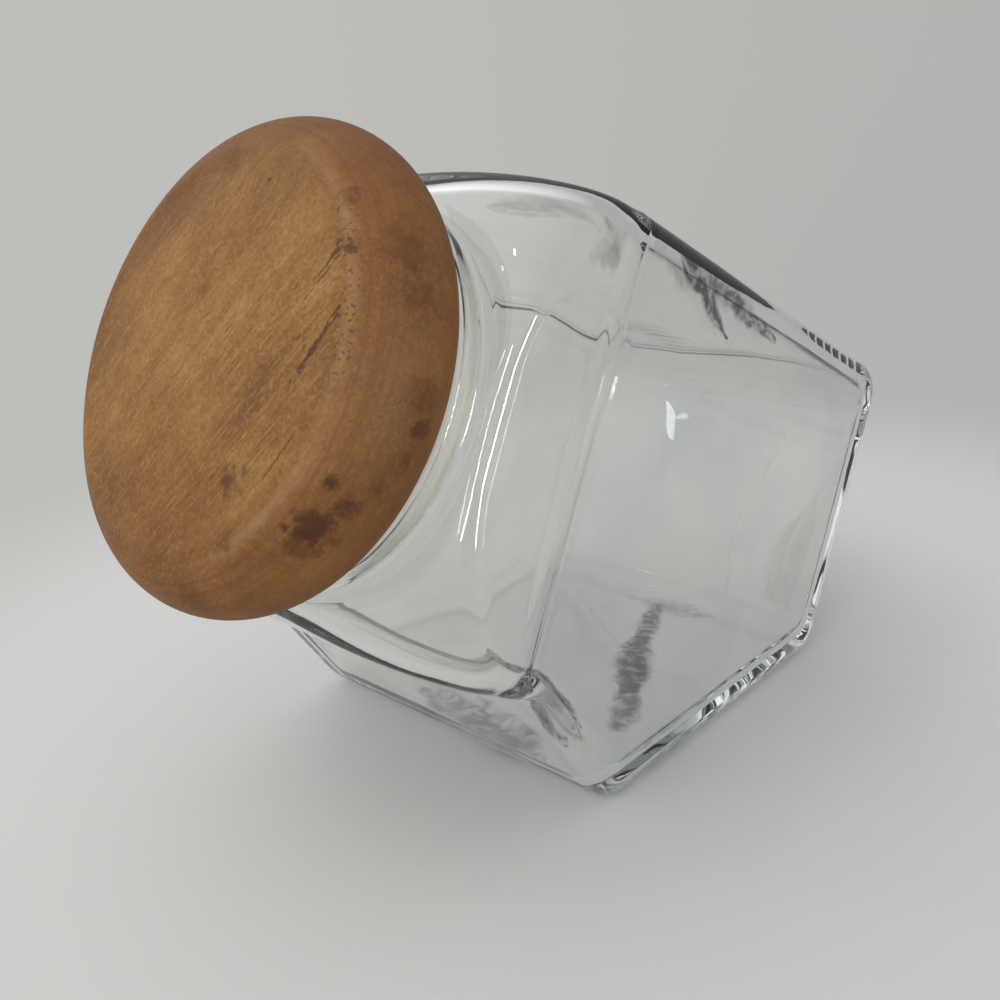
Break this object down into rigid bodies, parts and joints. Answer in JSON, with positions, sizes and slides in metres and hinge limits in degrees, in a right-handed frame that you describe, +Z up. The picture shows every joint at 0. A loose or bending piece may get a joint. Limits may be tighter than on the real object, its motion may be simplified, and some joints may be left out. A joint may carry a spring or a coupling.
{
  "type": "tilted glass storage jar with wooden lid",
  "caption": "Empty clear glass storage jar that leans back on a slanted base, with a round shoulder, a pale ribbed seal and a thick turned wooden lid.",
  "frame": {"origin": "middle of the whole jar's footprint, on the surface that it stands on", "axes": "+Z up, mouth and lid face -Y and point 30 degrees up, X across the two flat side panels"},
  "size_m": [0.1172, 0.225, 0.174],
  "materials": {
    "glass": "clear, smooth, faintly grey-green",
    "seal": "satin, pale cream",
    "wood": "oiled, open grain, worn"
  },
  "bodies": {
    "root": {"jar": "glass", "seal": "seal", "lid": "wood"}
  },
  "joints": []
}
